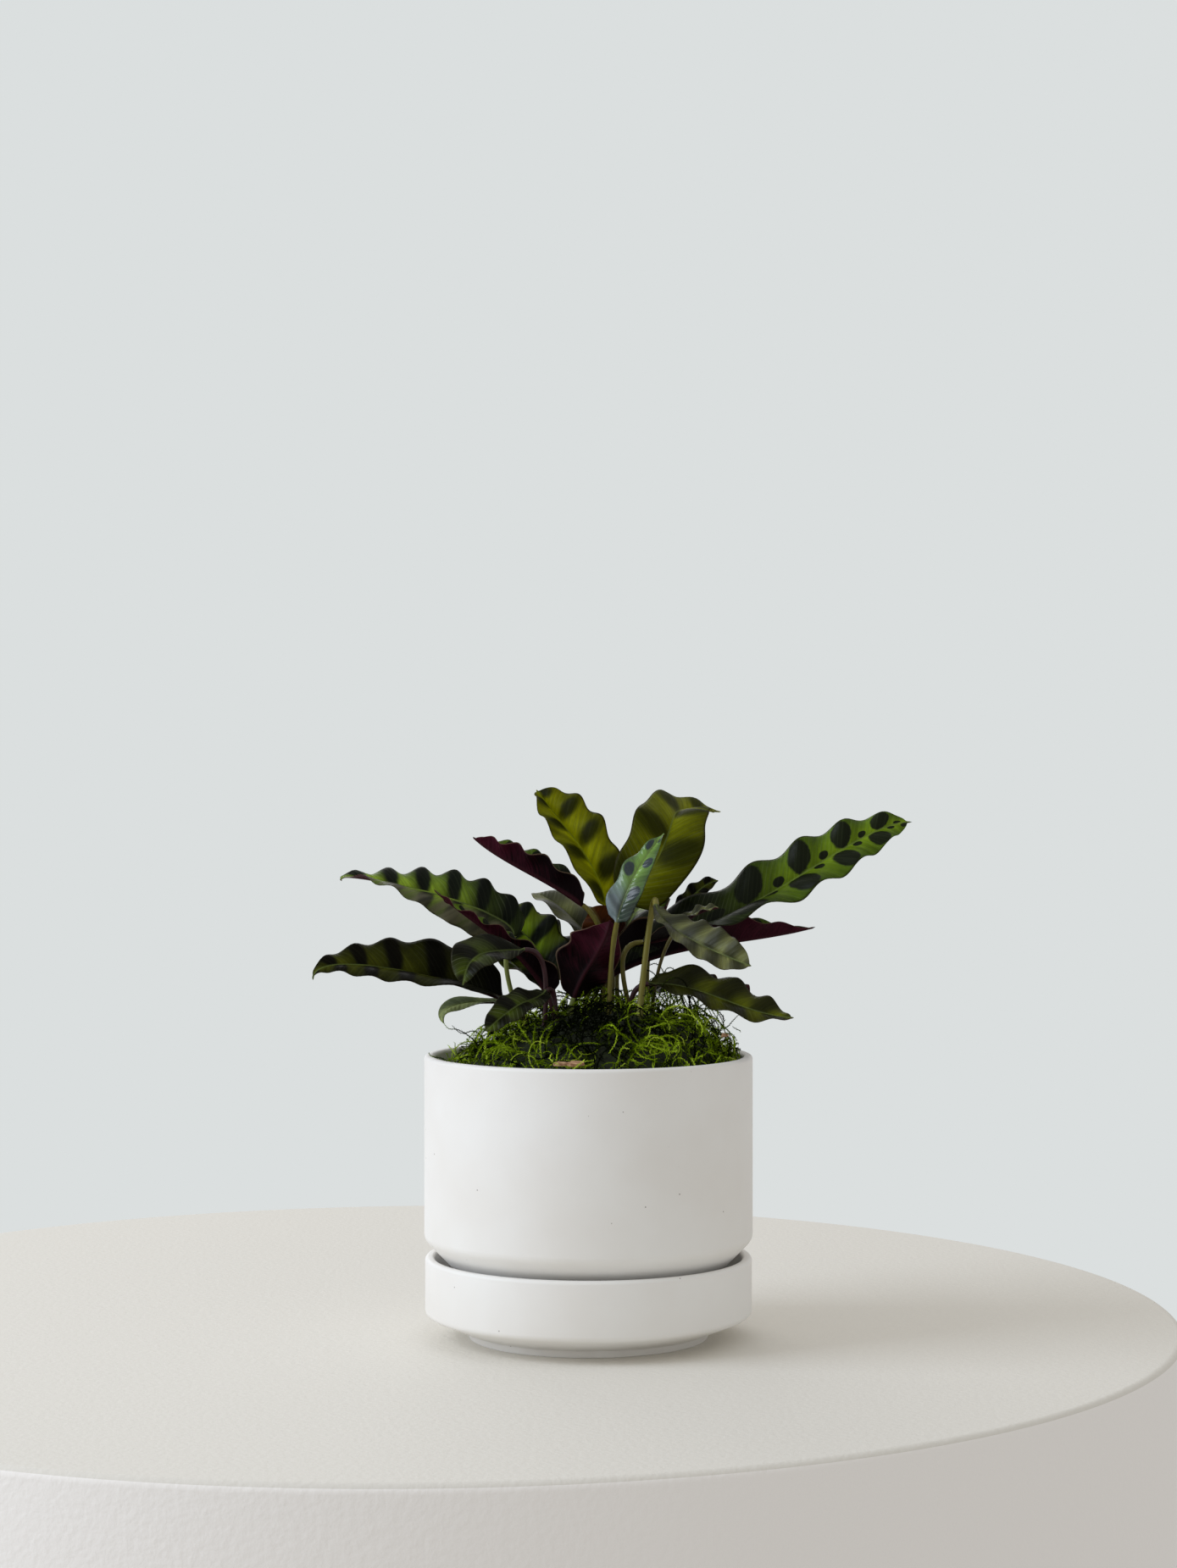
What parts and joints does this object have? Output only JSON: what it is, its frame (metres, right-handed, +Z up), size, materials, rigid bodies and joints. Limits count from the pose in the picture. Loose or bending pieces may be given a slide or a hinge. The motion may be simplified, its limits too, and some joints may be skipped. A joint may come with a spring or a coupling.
{
  "type": "potted plant",
  "caption": "Houseplant with long waved leaves, dark blotches above and maroon beneath, in moss and soil in a plain cylinder pot that stands in a matching saucer.",
  "frame": {"origin": "centre of the saucer's flat underside, which the object rests on", "axes": "+Z up, -Y towards the side that the picture shows, +X to the right of that side"},
  "size_m": [0.2791, 0.1841, 0.2541],
  "materials": {
    "ceramic": "matte off-white glaze with a few fine specks",
    "soil": "moist dark potting mix",
    "moss": "springy bright green moss",
    "leaf": "satin leaf, dark blotches above and maroon beneath"
  },
  "bodies": {
    "root": {"pot": "ceramic", "saucer": "ceramic", "soil": "soil", "moss": "moss", "leaf_01": "leaf", "leaf_02": "leaf", "leaf_03": "leaf", "leaf_04": "leaf", "leaf_05": "leaf", "leaf_06": "leaf", "leaf_07": "leaf", "leaf_08": "leaf", "leaf_09": "leaf", "leaf_10": "leaf", "leaf_11": "leaf", "leaf_12": "leaf", "leaf_13": "leaf", "leaf_14": "leaf", "leaf_15": "leaf", "leaf_16": "leaf", "leaf_17": "leaf", "leaf_18": "leaf", "leaf_19": "leaf", "leaf_20": "leaf", "leaf_21": "leaf", "leaf_22": "leaf", "leaf_23": "leaf", "leaf_24": "leaf", "leaf_25": "leaf"}
  },
  "joints": []
}
